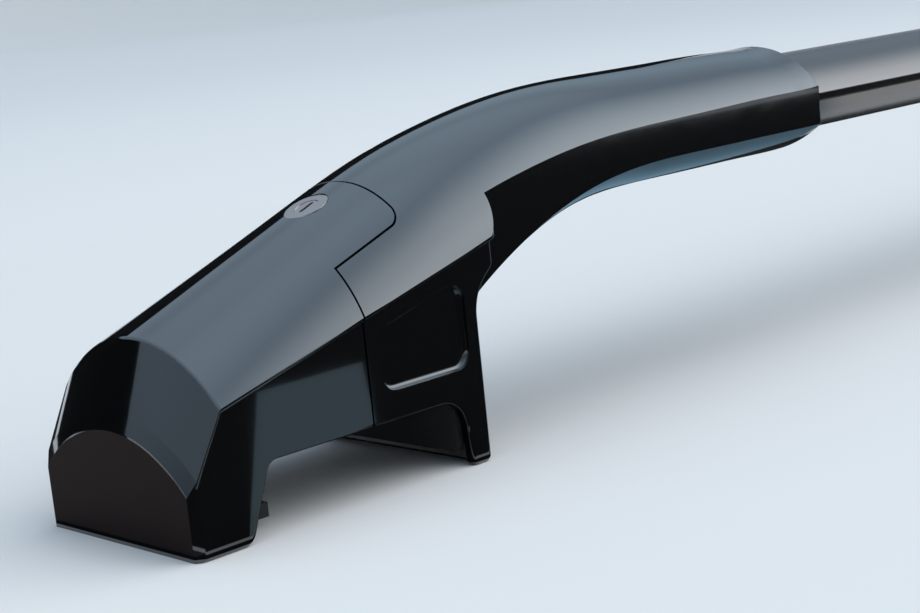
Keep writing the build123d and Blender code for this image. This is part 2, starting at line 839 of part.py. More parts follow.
# One foot's pieces by name, and the four corners that a foot stands at
foot_pieces = {
    "foot_body": foot_body,
    "end_cover": end_cover,
    "lock_barrel": lock_barrel,
    "lock_plug": lock_plug,
    "lock_cam": lock_cam,
    "clamp_base": clamp_base,
    "base_screws": base_screws,
    "clamp_claw": clamp_claw,
    "clamp_bolt": clamp_bolt,
    "clamp_nut": clamp_nut,
    "base_pad": base_pad,
    "jaw_pad": jaw_pad,
    "claw_pad": claw_pad,
    "bar_screws": bar_screws,
}
corners = {
    "front_left": Location((-overall_length / 2, -bar_spacing / 2, 0)),
    "front_right": Location((overall_length / 2, -bar_spacing / 2, 0), (0, 0, 180)),
    "rear_left": Location((-overall_length / 2, bar_spacing / 2, 0)),
    "rear_right": Location((overall_length / 2, bar_spacing / 2, 0), (0, 0, 180)),
}
bar_places = {
    "front_bar": Location((0, -bar_spacing / 2, 0)),
    "rear_bar": Location((0, bar_spacing / 2, 0)),
}

os.makedirs("parts", exist_ok=True)
for corner, place in corners.items():
    for name, piece in foot_pieces.items():
        placed = piece.part.moved(place)
        placed.label = f"{corner}_{name}"
        export_step(placed, f"parts/{placed.label}.step")
for name, place in bar_places.items():
    placed = bar.part.moved(place)
    placed.label = name
    export_step(placed, f"parts/{name}.step")
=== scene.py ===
"""Dresses a pair of roof crossbars: finishes for every piece, fine details and a pale studio."""

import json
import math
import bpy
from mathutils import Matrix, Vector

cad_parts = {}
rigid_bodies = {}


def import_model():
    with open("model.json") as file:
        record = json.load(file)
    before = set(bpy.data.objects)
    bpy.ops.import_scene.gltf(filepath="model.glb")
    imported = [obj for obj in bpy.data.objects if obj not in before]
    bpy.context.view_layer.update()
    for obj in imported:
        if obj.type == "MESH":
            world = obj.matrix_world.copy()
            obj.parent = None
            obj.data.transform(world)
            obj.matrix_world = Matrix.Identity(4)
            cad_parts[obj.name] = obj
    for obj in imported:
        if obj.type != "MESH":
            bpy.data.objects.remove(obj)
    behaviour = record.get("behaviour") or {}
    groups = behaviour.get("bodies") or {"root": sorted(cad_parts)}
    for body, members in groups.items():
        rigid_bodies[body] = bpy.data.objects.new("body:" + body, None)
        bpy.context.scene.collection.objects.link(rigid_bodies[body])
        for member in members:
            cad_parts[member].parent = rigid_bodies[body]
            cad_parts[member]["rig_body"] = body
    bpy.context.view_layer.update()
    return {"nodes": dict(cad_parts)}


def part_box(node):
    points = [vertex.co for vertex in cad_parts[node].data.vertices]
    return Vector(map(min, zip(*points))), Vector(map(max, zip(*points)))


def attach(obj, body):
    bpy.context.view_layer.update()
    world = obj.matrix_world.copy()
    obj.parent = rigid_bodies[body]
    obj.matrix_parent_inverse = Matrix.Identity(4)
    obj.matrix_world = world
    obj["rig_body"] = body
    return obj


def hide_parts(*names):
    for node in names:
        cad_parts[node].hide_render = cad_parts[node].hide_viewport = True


bl_info = {
    "name": "Roof Crossbars",
    "version": (1, 0, 0),
    "blender": (4, 5, 0),
    "location": "View3D > Sidebar > Crossbars",
    "description": "Finishes, details and studio for a pair of roof crossbars",
    "category": "Object",
}

import bmesh
import bpy
import numpy as np
from bpy.props import FloatProperty, FloatVectorProperty, IntProperty, PointerProperty
from bpy.types import Operator, Panel, PropertyGroup
from mathutils import Matrix, Vector

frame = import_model()

CORNERS = ("front_left", "front_right", "rear_left", "rear_right")
BARS = ("front_bar", "rear_bar")
MM = 0.001
QUARTER_TURN = math.radians(90)

# Lines of the foot, in millimetres from its end face, its middle plane and the ground
FOOT_HALF = 36.0
HOOD_LENGTH = 117.0
HOOD_SLOPE = math.radians(21.5)
EDGE_SLOPE = math.radians(14.8)
BEVEL_LENGTH = 11.5
BEVEL_TOP = 54.2
EDGE_START = 37.0
CROWN_BAND = 1.2
RIDGE_RADIUS = 280.0
ARM_TOP = 103.3
ARM_LENGTH = 288.0
ARM_HALF = 29.0
ARM_FLARE = 2.0
ARM_CROWN_RISE = 14.8
ARM_CROWN_BLEND = 45.0
ARM_BELLY_RISE = 10.0
ARM_UNDERSIDE = 65.0
ARM_BEND_START = 200.0
ARM_BEND_RADIUS = 166.0
BEVEL_ROUND = 1.5
MOUTH_ROUND = 0.7
SEAM_OVERLAP = 0.1
LEG_BLEND = 8.0

# Bolt, groove and pad, in the same millimetres
BOLT_HEIGHT = 35.0
BOLT_RADIUS = 4.0
BOLT_HEAD_UNDERSIDE = 22.5
BOLT_THREAD = (26.5, 59.6)
BAR_GROOVE_MIDDLE = 83.8
BAR_GROOVE_HEIGHT = 2.2
PAD_FACE = 20.0
PAD_RIBS = (43.0, 87.0)
PAD_RIB_LENGTH = 50.0

# How the smooth shading is fitted to the meshes
ARC_LIMIT = 0.99
SURFACE_MISS = 0.3
NORMAL_AGREEMENT = 0.8
MERGE_DISTANCE = 1e-6
SHANK_MARGIN = 1e-5
SHARP_ANGLE = math.radians(35)

# Stage, in metres
FLOOR_BEND = 0.8
FLOOR_BEND_STEPS = 12
FLOOR_WALL = 0.7
FLOOR_TURNS = 96
SKY_STEPS = ((0.05, 0.06), (0.42, 0.32), (0.6, 0.36), (0.71, 0.5), (0.9, 0.68), (1.0, 0.9))
BRIGHT_SIDE_AZIMUTH = math.radians(131)
BRIGHT_SIDE_ELEVATION = math.radians(20)
BRIGHT_SIDE_CORE = math.radians(8)
BRIGHT_SIDE_REACH = math.radians(50)
BRIGHT_SIDE_POWER = 1.6
LAMP_SIZE = 3.0
LAMP_ENERGY = 26.0
LAMP_PLACE = (0.5, -0.5, 2.0)
LAMP_TARGET = (-0.2, 0.2, 0.0)
CAMERA_PLACE = (-0.835482, -0.064028, 0.142070)
CAMERA_AZIMUTH = math.radians(43.093)
CAMERA_ELEVATION = math.radians(10.354)
CAMERA_ROLL = math.radians(-5.887)
SENSOR_WIDTH = 36.0


# The foot's smooth surfaces, as heights over its plan


def arc_drop(radius, half_chord):
    """Fall of a circular arc from its top to the ends of its chord."""
    return radius - np.sqrt(np.maximum(radius**2 - half_chord**2, 1e-9))


def arc_radius(half_chord, rise):
    """Radius of the arc with this half chord and rise."""
    return (half_chord**2 + rise**2) / (2 * rise)


def ridge_height(x):
    """Top line of the foot: a slope, a tangent bend and the level arm."""
    corner = BEVEL_LENGTH + (ARM_TOP - BEVEL_TOP) / math.tan(HOOD_SLOPE)
    tangent = RIDGE_RADIUS * math.tan(HOOD_SLOPE / 2)
    slope = BEVEL_TOP + (x - BEVEL_LENGTH) * math.tan(HOOD_SLOPE)
    run = np.clip(corner + tangent - x, 0.0, RIDGE_RADIUS * ARC_LIMIT)
    bend = ARM_TOP - arc_drop(RIDGE_RADIUS, run)
    return np.where(x <= corner - tangent * math.cos(HOOD_SLOPE), slope, bend)


def hood_radius(x):
    """Radius of the hood's crown."""
    edge = EDGE_START + (x - BEVEL_LENGTH) * math.tan(EDGE_SLOPE)
    return arc_radius(FOOT_HALF, ridge_height(x) - edge - CROWN_BAND)


def arm_half_width(x):
    """Half width of the arm."""
    return ARM_HALF + ARM_FLARE * (ARM_LENGTH - x) / (ARM_LENGTH - HOOD_LENGTH)


def hood_top(x, y):
    """Crown of the hood."""
    return ridge_height(x) - arc_drop(hood_radius(x), y)


def arm_top(x, y):
    """Crown of the arm, which leaves the hood's crown with the same radius."""
    part = np.clip((x - HOOD_LENGTH) / ARM_CROWN_BLEND, 0.0, 1.0)
    ease = part * part * (3 - 2 * part)
    mouth = arc_radius(ARM_HALF, ARM_CROWN_RISE)
    radius = hood_radius(np.minimum(x, HOOD_LENGTH)) * (1 - ease) + mouth * ease
    return ridge_height(x) - arc_drop(radius, y)


def arm_belly(x, y):
    """Underside of the arm, which bends down into the leg."""
    run = np.clip(ARM_BEND_START - x, 0.0, ARM_BEND_RADIUS * ARC_LIMIT)
    bottom = ARM_UNDERSIDE - arc_drop(ARM_BEND_RADIUS, run)
    return bottom + arc_drop(arc_radius(arm_half_width(x), ARM_BELLY_RISE), y)


# Each surface with the stretch of the foot that it covers and the way that it faces
SURFACES = (
    (hood_top, BEVEL_LENGTH + BEVEL_ROUND, HOOD_LENGTH, 1.0),
    (arm_top, HOOD_LENGTH - SEAM_OVERLAP, ARM_LENGTH - MOUTH_ROUND, 1.0),
    (arm_belly, HOOD_LENGTH - LEG_BLEND, ARM_LENGTH - MOUTH_ROUND, -1.0),
)


def surface_normals(surface, points, way, step=0.05):
    """Normals of a height surface at these points."""
    x, y = points[:, 0], points[:, 1]
    along = (surface(x + step, y) - surface(x - step, y)) / (2 * step)
    across = (surface(x, y + step) - surface(x, y - step)) / (2 * step)
    normals = np.stack([-along, -across, np.ones_like(x)], axis=1) * way
    return normals / np.linalg.norm(normals, axis=1, keepdims=True)


def foot_frame(corner):
    """Origin of a foot in metres, and the turn of its X and Y: 1 or -1."""
    lo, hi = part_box(f"{corner}_end_cover")
    turn = 1.0 if corner.endswith("left") else -1.0
    return np.array((lo.x if turn > 0 else hi.x, (lo.y + hi.y) / 2, 0.0)), np.array((turn, turn, 1.0))


def true_shading(mesh, corner):
    """Shades the crowned surfaces by their own formulas, so that the gloss runs without a ripple."""
    count = len(mesh.vertices)
    places = np.empty(count * 3)
    mesh.vertices.foreach_get("co", places)
    origin, turn = foot_frame(corner)
    local = (places.reshape(-1, 3) - origin) * turn / MM
    owners = np.empty(len(mesh.loops), dtype=np.int64)
    mesh.loops.foreach_get("vertex_index", owners)
    triangles = owners.reshape(-1, 3)
    normals = np.empty(len(mesh.loops) * 3)
    mesh.attributes["drawn_normal"].data.foreach_get("vector", normals)
    mesh.attributes.remove(mesh.attributes["drawn_normal"])
    normals = normals.reshape(-1, 3, 3) * turn
    flat = np.empty(len(mesh.polygons) * 3)
    mesh.polygons.foreach_get("normal", flat)
    flat = flat.reshape(-1, 3) * turn
    for surface, start, end, way in SURFACES:
        miss = np.abs(local[:, 2] - surface(local[:, 0], local[:, 1]))
        on = (miss < SURFACE_MISS) & (local[:, 0] > start) & (local[:, 0] < end)
        faces = np.nonzero(on[triangles].all(axis=1))[0]
        exact = surface_normals(surface, local[triangles[faces].ravel()], way).reshape(-1, 3, 3)
        agree = (exact.mean(axis=1) * flat[faces]).sum(axis=1) > NORMAL_AGREEMENT
        normals[faces[agree]] = exact[agree]
    mesh.normals_split_custom_set((normals * turn).reshape(-1, 3))


def paint(mesh, material):
    """One finish all over a mesh."""
    mesh.materials.clear()
    mesh.materials.append(material)
    mesh.polygons.foreach_set("material_index", np.zeros(len(mesh.polygons), dtype=np.int32))


def add_piece(mesh, node, stands_for=False):
    """A piece that rides with a CAD node's body, beside the node or in its place."""
    piece = bpy.data.objects.new(mesh.name, mesh)
    bpy.context.scene.collection.objects.link(piece)
    if stands_for:
        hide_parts(node)
    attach(piece, frame["nodes"][node]["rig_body"])


def smooth_copy(corner, name, material):
    """A merged copy of a moulding that stands for its CAD node, with true shading."""
    node = f"{corner}_{name}"
    source = frame["nodes"][node].data
    mesh = source.copy()
    mesh.name = f"{node}_moulding"
    drawn = np.empty(len(source.loops) * 3, dtype=np.float32)
    source.corner_normals.foreach_get("vector", drawn)
    mesh.attributes.new("drawn_normal", "FLOAT_VECTOR", "CORNER").data.foreach_set("vector", drawn)
    shape = bmesh.new()
    shape.from_mesh(mesh)
    bmesh.ops.remove_doubles(shape, verts=shape.verts, dist=MERGE_DISTANCE)
    shape.to_mesh(mesh)
    shape.free()
    paint(mesh, material)
    mesh.shade_smooth()
    true_shading(mesh, corner)
    add_piece(mesh, node, stands_for=True)


# Details made by Geometry Nodes


def detail_tree(name, inputs):
    """A Geometry Nodes tree with named inputs, a material among them, and one geometry output."""
    tree = bpy.data.node_groups.new(name, "GeometryNodeTree")
    for label, kind in [*inputs, ("Material", "Material")]:
        tree.interface.new_socket(label, in_out="INPUT", socket_type=f"NodeSocket{kind}")
    tree.interface.new_socket("Geometry", in_out="OUTPUT", socket_type="NodeSocketGeometry")
    return tree, tree.nodes.new("NodeGroupInput"), tree.nodes.new("NodeGroupOutput")


def ending(tree, given, result, shape):
    """Realizes the instances, sets the material and hands the shape out."""
    realize = tree.nodes.new("GeometryNodeRealizeInstances")
    paint = tree.nodes.new("GeometryNodeSetMaterial")
    tree.links.new(shape, realize.inputs["Geometry"])
    tree.links.new(realize.outputs["Geometry"], paint.inputs["Geometry"])
    tree.links.new(given.outputs["Material"], paint.inputs["Material"])
    tree.links.new(paint.outputs["Geometry"], result.inputs["Geometry"])


def thread_tree():
    """A screw thread along Z: a four-sided ridge that follows a spiral."""
    inputs = [(label, "Float") for label in ("Length", "Radius", "Pitch", "Depth")]
    tree, given, result = detail_tree("screw_thread", inputs)
    turns = tree.nodes.new("ShaderNodeMath")
    turns.operation = "DIVIDE"
    core = tree.nodes.new("ShaderNodeMath")
    core.operation = "SUBTRACT"
    spiral = tree.nodes.new("GeometryNodeCurveSpiral")
    spiral.inputs["Resolution"].default_value = 20
    upright = tree.nodes.new("GeometryNodeSetCurveNormal")
    upright.mode = "Z_UP"
    ridge = tree.nodes.new("GeometryNodeCurvePrimitiveCircle")
    ridge.inputs["Resolution"].default_value = 4
    sweep = tree.nodes.new("GeometryNodeCurveToMesh")
    sweep.inputs["Fill Caps"].default_value = True
    link = tree.links.new
    link(given.outputs["Length"], turns.inputs[0])
    link(given.outputs["Pitch"], turns.inputs[1])
    link(given.outputs["Radius"], core.inputs[0])
    link(given.outputs["Depth"], core.inputs[1])
    link(turns.outputs["Value"], spiral.inputs["Rotations"])
    link(core.outputs["Value"], spiral.inputs["Start Radius"])
    link(core.outputs["Value"], spiral.inputs["End Radius"])
    link(given.outputs["Length"], spiral.inputs["Height"])
    link(spiral.outputs["Curve"], upright.inputs["Curve"])
    link(given.outputs["Depth"], ridge.inputs["Radius"])
    link(upright.outputs["Curve"], sweep.inputs["Curve"])
    link(ridge.outputs["Curve"], sweep.inputs["Profile Curve"])
    ending(tree, given, result, sweep.outputs["Mesh"])
    return tree


def rib_tree():
    """A row of round ribs along X, each lying along Z."""
    inputs = [("Count", "Int")] + [(label, "Float") for label in ("Span", "Radius", "Length")]
    tree, given, result = detail_tree("pad_ribs", inputs)
    end = tree.nodes.new("ShaderNodeCombineXYZ")
    row = tree.nodes.new("GeometryNodeMeshLine")
    row.mode = "END_POINTS"
    rib = tree.nodes.new("GeometryNodeMeshCylinder")
    rib.inputs["Vertices"].default_value = 16
    copies = tree.nodes.new("GeometryNodeInstanceOnPoints")
    link = tree.links.new
    link(given.outputs["Span"], end.inputs["X"])
    link(given.outputs["Count"], row.inputs["Count"])
    link(end.outputs["Vector"], row.inputs["Offset"])
    link(given.outputs["Radius"], rib.inputs["Radius"])
    link(given.outputs["Length"], rib.inputs["Depth"])
    link(row.outputs["Mesh"], copies.inputs["Points"])
    link(rib.outputs["Mesh"], copies.inputs["Instance"])
    ending(tree, given, result, copies.outputs["Instances"])
    return tree


def grown(name, tree, values):
    """The plain mesh that a tree makes with these inputs."""
    holder = bpy.data.objects.new(name, bpy.data.meshes.new(name))
    modifier = holder.modifiers.new("detail", "NODES")
    modifier.node_group = tree
    for socket in tree.interface.items_tree:
        if socket.in_out == "INPUT":
            modifier[socket.identifier] = values[socket.name]
    bpy.context.scene.collection.objects.link(holder)
    graph = bpy.context.evaluated_depsgraph_get()
    mesh = bpy.data.meshes.new_from_object(holder.evaluated_get(graph), depsgraph=graph)
    holder.modifiers.remove(modifier)
    bpy.data.objects.remove(holder)
    if not mesh.polygons:
        raise RuntimeError(f"{name} came out empty")
    return mesh


def foot_matrix(corner):
    """Places a foot's own axes, in metres, in the model."""
    origin, turn = foot_frame(corner)
    return Matrix.Translation(origin) @ Matrix.Diagonal((*turn, 1.0))


def threaded_bolt(corner, thread, depth, material):
    """A merged copy of a clamp bolt, its shank cut down to the core and wound with its thread."""
    node = f"{corner}_clamp_bolt"
    shape = bmesh.new()
    shape.from_mesh(frame["nodes"][node].data)
    bmesh.ops.remove_doubles(shape, verts=shape.verts, dist=MERGE_DISTANCE)
    place = foot_matrix(corner)
    back = place.inverted()
    axis = Vector((0.0, 0.0, BOLT_HEIGHT * MM))
    shank_start = BOLT_HEAD_UNDERSIDE * MM - SHANK_MARGIN
    shank_radius = BOLT_RADIUS * MM + SHANK_MARGIN
    core = BOLT_RADIUS * MM - depth
    for vertex in shape.verts:
        local = back @ vertex.co
        arm = Vector((0.0, local.y, local.z)) - axis
        if local.x > shank_start and core < arm.length < shank_radius:
            vertex.co = place @ (Vector((local.x, 0.0, 0.0)) + axis + arm * (core / arm.length))
    winding = thread.copy()
    start = Vector((BOLT_THREAD[0] * MM, 0.0, BOLT_HEIGHT * MM))
    winding.transform(place @ Matrix.Translation(start) @ Matrix.Rotation(QUARTER_TURN, 4, "Y"))
    shape.from_mesh(winding)
    bpy.data.meshes.remove(winding)
    mesh = bpy.data.meshes.new(f"{node}_threaded")
    shape.to_mesh(mesh)
    shape.free()
    paint(mesh, material)
    mesh.shade_smooth()
    mesh.set_sharp_from_angle(angle=SHARP_ANGLE)
    add_piece(mesh, node, stands_for=True)


def ribbed_pad(corner, ribs):
    """Ribs half sunk in the face of the pad that sits on the rail."""
    mesh = ribs.copy()
    mesh.name = f"{corner}_pad_ribs"
    start = Vector((PAD_RIBS[0] * MM, 0.0, PAD_FACE * MM))
    turned = Matrix.Translation(start) @ Matrix.Rotation(QUARTER_TURN, 4, "X")
    mesh.transform(foot_matrix(corner) @ turned)
    mesh.shade_smooth()
    mesh.set_sharp_from_angle(angle=SHARP_ANGLE)
    add_piece(mesh, f"{corner}_base_pad")


# Materials


def plain_material(name):
    """A node material and its principled shader."""
    material = bpy.data.materials.new(name)
    material.use_nodes = True
    return material, material.node_tree.nodes["Principled BSDF"]


def new_material(name):
    """A node material with its principled shader and object coordinates."""
    material, shader = plain_material(name)
    return material, shader, material.node_tree.nodes.new("ShaderNodeTexCoord")


def set_inputs(shader, **inputs):
    """Sets a node's inputs by name."""
    for name, value in inputs.items():
        shader.inputs[name.replace("_", " ")].default_value = value


def add_node(material, kind, **inputs):
    """A node of this kind with its inputs set by name."""
    node = material.node_tree.nodes.new(kind)
    set_inputs(node, **inputs)
    return node


def join(material, source, output, target, socket):
    """Links one node's output to another node's input."""
    material.node_tree.links.new(source.outputs[output], target.inputs[socket])


def stretched(material, coords, scale):
    """Object coordinates stretched by a scale on each axis."""
    mapping = add_node(material, "ShaderNodeMapping", Scale=scale)
    join(material, coords, "Object", mapping, "Vector")
    return mapping


def noise(material, vector, scale, detail=3.0, rough=0.5):
    """Noise on the given vector node."""
    node = add_node(material, "ShaderNodeTexNoise", Scale=scale, Detail=detail, Roughness=rough)
    output = "Object" if vector.bl_idname == "ShaderNodeTexCoord" else "Vector"
    join(material, vector, output, node, "Vector")
    return node


def tinted(material, source, low, high):
    """Runs between two colours by a node's value."""
    ramp = material.node_tree.nodes.new("ShaderNodeValToRGB")
    ramp.color_ramp.elements[0].color = (*low, 1.0)
    ramp.color_ramp.elements[1].color = (*high, 1.0)
    join(material, source, 0, ramp, "Fac")
    return ramp


def coloured(material, shader, source, low, high):
    """Colours the surface between two tones by a node's value."""
    join(material, tinted(material, source, low, high), "Color", shader, "Base Color")


def roughened(material, shader, source, low, high):
    """Roughens the surface between two values by a node's value."""
    node = add_node(material, "ShaderNodeMapRange", To_Min=low, To_Max=high)
    join(material, source, 0, node, "Value")
    join(material, node, "Result", shader, "Roughness")


def bumped(material, shader, source, strength, distance):
    """Feeds a node's value to the shader as a bump."""
    bump = add_node(material, "ShaderNodeBump", Strength=strength, Distance=distance)
    join(material, source, 0, bump, "Height")
    join(material, bump, "Normal", shader, "Normal")


def shade(colour, factor):
    """The same colour, lighter or darker."""
    return tuple(c * factor for c in colour)


def gloss_black_plastic(settings):
    """Polished black moulding: a faint ripple in the gloss and dust-fine haze."""
    material, shader, coords = new_material("gloss_black_plastic")
    ripple = noise(material, coords, scale=55.0, detail=2.0)
    haze = noise(material, coords, scale=900.0, detail=4.0, rough=0.6)
    tone = noise(material, coords, scale=14.0, detail=2.0)
    colour, gloss = settings.gloss_colour, settings.gloss_roughness
    coloured(material, shader, tone, shade(colour, 0.85), shade(colour, 1.15))
    roughened(material, shader, haze, gloss * 0.8, gloss * 1.3)
    bumped(material, shader, ripple, strength=0.02, distance=0.002)
    set_inputs(shader, IOR=1.65, Coat_Weight=1.0, Coat_Roughness=0.03, Coat_IOR=1.65)
    return material


def painted_groove_shade_mask(material, coords):
    """One inside the height of the bar's grooves, where shade is painted, and nothing elsewhere."""
    place = add_node(material, "ShaderNodeSeparateXYZ")
    join(material, coords, "Object", place, "Vector")
    mask = add_node(material, "ShaderNodeMath")
    mask.operation = "COMPARE"
    mask.inputs[1].default_value = BAR_GROOVE_MIDDLE * MM
    mask.inputs[2].default_value = BAR_GROOVE_HEIGHT / 2 * MM
    join(material, place, "Z", mask, 0)
    return mask


def satin_aluminium(settings):
    """Anodised extrusion: fine drawn lines along the bar under a satin bloom, and painted shade that
    darkens its grooves.
    """
    material, shader, coords = new_material("satin_aluminium")
    lines = noise(material, stretched(material, coords, (1.5, 700.0, 700.0)), scale=1.0, rough=0.7)
    bloom = noise(material, coords, scale=40.0, rough=0.6)
    colour, satin = settings.bar_colour, settings.bar_roughness
    drawn = tinted(material, lines, shade(colour, 0.94), shade(colour, 1.04))
    # Painted shade: inside the grooves the bar's colour is darkened to 0.12 of itself
    painted_groove_shade = add_node(material, "ShaderNodeMixRGB", Color2=(*shade(colour, 0.12), 1.0))
    join(material, painted_groove_shade_mask(material, coords), "Value", painted_groove_shade, "Fac")
    join(material, drawn, "Color", painted_groove_shade, "Color1")
    join(material, painted_groove_shade, "Color", shader, "Base Color")
    roughened(material, shader, bloom, satin * 0.9, satin * 1.1)
    bumped(material, shader, lines, strength=0.02, distance=0.0002)
    set_inputs(shader, Metallic=1.0)
    return material


def bright_zinc(settings):
    """Die-cast lock metal with a fine grain."""
    material, shader, coords = new_material("bright_zinc")
    grain = noise(material, coords, scale=1800.0, rough=0.6)
    colour = settings.lock_colour
    coloured(material, shader, grain, shade(colour, 0.93), shade(colour, 1.05))
    roughened(material, shader, grain, 0.26, 0.4)
    bumped(material, shader, grain, strength=0.06, distance=0.0001)
    set_inputs(shader, Metallic=1.0)
    return material


def plated_steel():
    """Zinc plating with a slight blue-yellow cast in patches."""
    material, shader, coords = new_material("plated_steel")
    cast = noise(material, coords, scale=160.0, rough=0.6)
    fine = noise(material, coords, scale=1500.0, detail=2.0)
    coloured(material, shader, cast, (0.50, 0.52, 0.56), (0.62, 0.60, 0.54))
    roughened(material, shader, fine, 0.28, 0.42)
    bumped(material, shader, fine, strength=0.05, distance=0.0001)
    set_inputs(shader, Metallic=1.0)
    return material


def cast_alloy():
    """Tumbled die casting with a pebbled skin."""
    material, shader, coords = new_material("cast_alloy")
    pebble = noise(material, coords, scale=900.0, detail=4.0, rough=0.7)
    cloud = noise(material, coords, scale=60.0, detail=2.0)
    coloured(material, shader, cloud, (0.36, 0.36, 0.37), (0.46, 0.46, 0.46))
    roughened(material, shader, pebble, 0.42, 0.6)
    bumped(material, shader, pebble, strength=0.25, distance=0.0003)
    set_inputs(shader, Metallic=1.0)
    return material


def powder_coat():
    """Black powder coat with its fine orange-peel texture."""
    material, shader, coords = new_material("powder_coat")
    peel = noise(material, coords, scale=650.0, rough=0.55)
    tone = noise(material, coords, scale=40.0, detail=2.0)
    coloured(material, shader, tone, (0.016, 0.016, 0.017), (0.026, 0.026, 0.027))
    roughened(material, shader, peel, 0.38, 0.55)
    bumped(material, shader, peel, strength=0.35, distance=0.0004)
    return material


def black_rubber():
    """Matt moulded rubber with a dusty bloom."""
    material, shader, coords = new_material("black_rubber")
    dust = noise(material, coords, scale=120.0, detail=4.0, rough=0.65)
    grain = noise(material, coords, scale=1400.0, rough=0.6)
    coloured(material, shader, dust, (0.012, 0.012, 0.012), (0.03, 0.029, 0.028))
    roughened(material, shader, dust, 0.62, 0.85)
    bumped(material, shader, grain, strength=0.3, distance=0.0003)
    return material


def dress_all(names, material):
    """The same finish on a piece at all four corners."""
    for corner in CORNERS:
        for name in names:
            paint(frame["nodes"][f"{corner}_{name}"].data, material)


# Cards that the gloss reflects, in metres


def rectangle(left, front, right, rear):
    """Corners of a card that lies square to the bars."""
    return [(left, front), (right, front), (right, rear), (left, rear)]


DARK = (0.022, 0.02, 0.018)
BLACK = (0.02, 0.02, 0.02)
BROWN = (0.1, 0.072, 0.064)
SLATE = (0.26, 0.32, 0.33)
BLUE_GREY = (0.17, 0.25, 0.29)
CARD_LIFT = 0.001

# The middle card has a slanting gap, which the slate wall card fills
WALL_GAP = [(-0.45, 0.172), (-0.4, 0.172), (-0.51, 0.31), (-0.56, 0.31)]
MIDDLE = [(-0.9, -0.25), (0.9, -0.25), (0.9, 0.31)]
MIDDLE += [WALL_GAP[2], WALL_GAP[1], WALL_GAP[0], WALL_GAP[3], (-0.9, 0.31)]
FAR = [(-0.582, 0.312), (-0.46, 0.312), (-0.46, 0.5), (-0.17, 0.5), (-0.17, 0.9), (-0.582, 0.9)]
BACK = [(-2.5, 2.6, 0.0), (2.5, 2.6, 0.0), (2.5, 2.6, 1.1), (-2.5, 2.6, 1.1)]
BACK_COLOUR = (0.01, 0.01, 0.01)

FLOOR_CARDS = (
    ("middle_card", DARK, MIDDLE),
    ("wall_card", SLATE, WALL_GAP),
    ("arm_card", BLUE_GREY, rectangle(-0.46, 0.312, -0.17, 0.5)),
    ("end_card", BROWN, rectangle(-1.2, 0.312, -0.582, 0.9)),
    ("far_card", BLACK, FAR),
    ("front_card", DARK, rectangle(-0.9, -0.9, 0.9, -0.39)),
    ("rear_card", DARK, rectangle(-0.17, 0.39, 0.9, 0.9)),
    ("front_left_end_card", BROWN, rectangle(-0.9, -0.39, -0.582, -0.25)),
    ("front_right_end_card", BROWN, rectangle(0.582, -0.39, 0.9, -0.25)),
    ("rear_right_end_card", BROWN, rectangle(0.582, 0.31, 0.9, 0.39)),
)


# Settings


class CrossbarFinish(PropertyGroup):
    """Colours and gloss of the pieces."""

    gloss_colour: FloatVectorProperty(
        name="Gloss Black",
        description="Colour of the moulded feet",
        default=(0.0015, 0.0015, 0.0018),
        subtype="COLOR",
        min=0.0,
        max=1.0,
    )
    gloss_roughness: FloatProperty(
        name="Gloss Roughness",
        description="How far the polish of the feet is from a mirror",
        default=0.07,
        subtype="FACTOR",
        min=0.0,
        max=1.0,
    )
    bar_colour: FloatVectorProperty(
        name="Bar Aluminium",
        description="Colour of the anodised bars",
        default=(0.25, 0.226, 0.212),
        subtype="COLOR",
        min=0.0,
        max=1.0,
    )
    bar_roughness: FloatProperty(
        name="Bar Roughness",
        description="Satin of the anodised bars",
        default=0.22,
        subtype="FACTOR",
        min=0.0,
        max=1.0,
    )
    lock_colour: FloatVectorProperty(
        name="Lock Metal",
        description="Colour of the lock face",
        default=(0.64, 0.55, 0.53),
        subtype="COLOR",
        min=0.0,
        max=1.0,
    )


class CrossbarStudio(PropertyGroup):
    """Floor, sky and lamps."""

    floor_colour: FloatVectorProperty(
        name="Floor",
        description="Colour of the floor",
        default=(0.78, 0.73, 0.69),
        subtype="COLOR",
        min=0.0,
        max=1.0,
    )
    floor_reach: FloatProperty(
        name="Floor Reach",
        description="Radius of the round floor with its backdrop",
        default=7.0,
        unit="LENGTH",
        min=2.0,
    )
    sky_colour: FloatVectorProperty(
        name="Sky",
        description="Colour of the soft light overhead",
        default=(0.76, 1.0, 1.25),
        subtype="COLOR",
        min=0.0,
        max=2.0,
    )
    sky_level: FloatProperty(
        name="Sky Level",
        description="Brightness of the soft light overhead",
        default=1.3,
        min=0.0,
        max=5.0,
    )
    side_colour: FloatVectorProperty(
        name="Bright Side",
        description="Colour of the bright side of the sky",
        default=(0.92, 1.0, 1.06),
        subtype="COLOR",
        min=0.0,
        max=2.0,
    )
    side_level: FloatProperty(
        name="Side Level",
        description="Brightness of the bright side of the sky",
        default=2.1,
        min=0.0,
        max=5.0,
    )
    lens: FloatProperty(
        name="Lens",
        description="Focal length on a sensor 36 mm wide",
        default=72.39,
        unit="CAMERA",
        min=1.0,
    )


class CrossbarDetails(PropertyGroup):
    """Sizes of the fine details."""

    thread_pitch: FloatProperty(
        name="Thread Pitch",
        description="Rise of the clamp bolt's thread in one turn",
        default=0.00125,
        unit="LENGTH",
        precision=5,
        min=0.0003,
    )
    thread_depth: FloatProperty(
        name="Thread Depth",
        description="Height of the thread over the bolt's core",
        default=0.0006,
        unit="LENGTH",
        precision=5,
        min=0.0001,
    )
    rib_count: IntProperty(
        name="Ribs",
        description="Number of ribs on each pad that sits on the rail",
        default=9,
        min=1,
    )
    rib_radius: FloatProperty(
        name="Rib Radius",
        description="Radius of the pad's ribs, which is how far they stand out",
        default=0.0004,
        unit="LENGTH",
        precision=5,
        min=0.0001,
    )


class CrossbarSettings(PropertyGroup):
    """All settings of the crossbars."""

    details: PointerProperty(type=CrossbarDetails)
    finish: PointerProperty(type=CrossbarFinish)
    studio: PointerProperty(type=CrossbarStudio)


# Operators


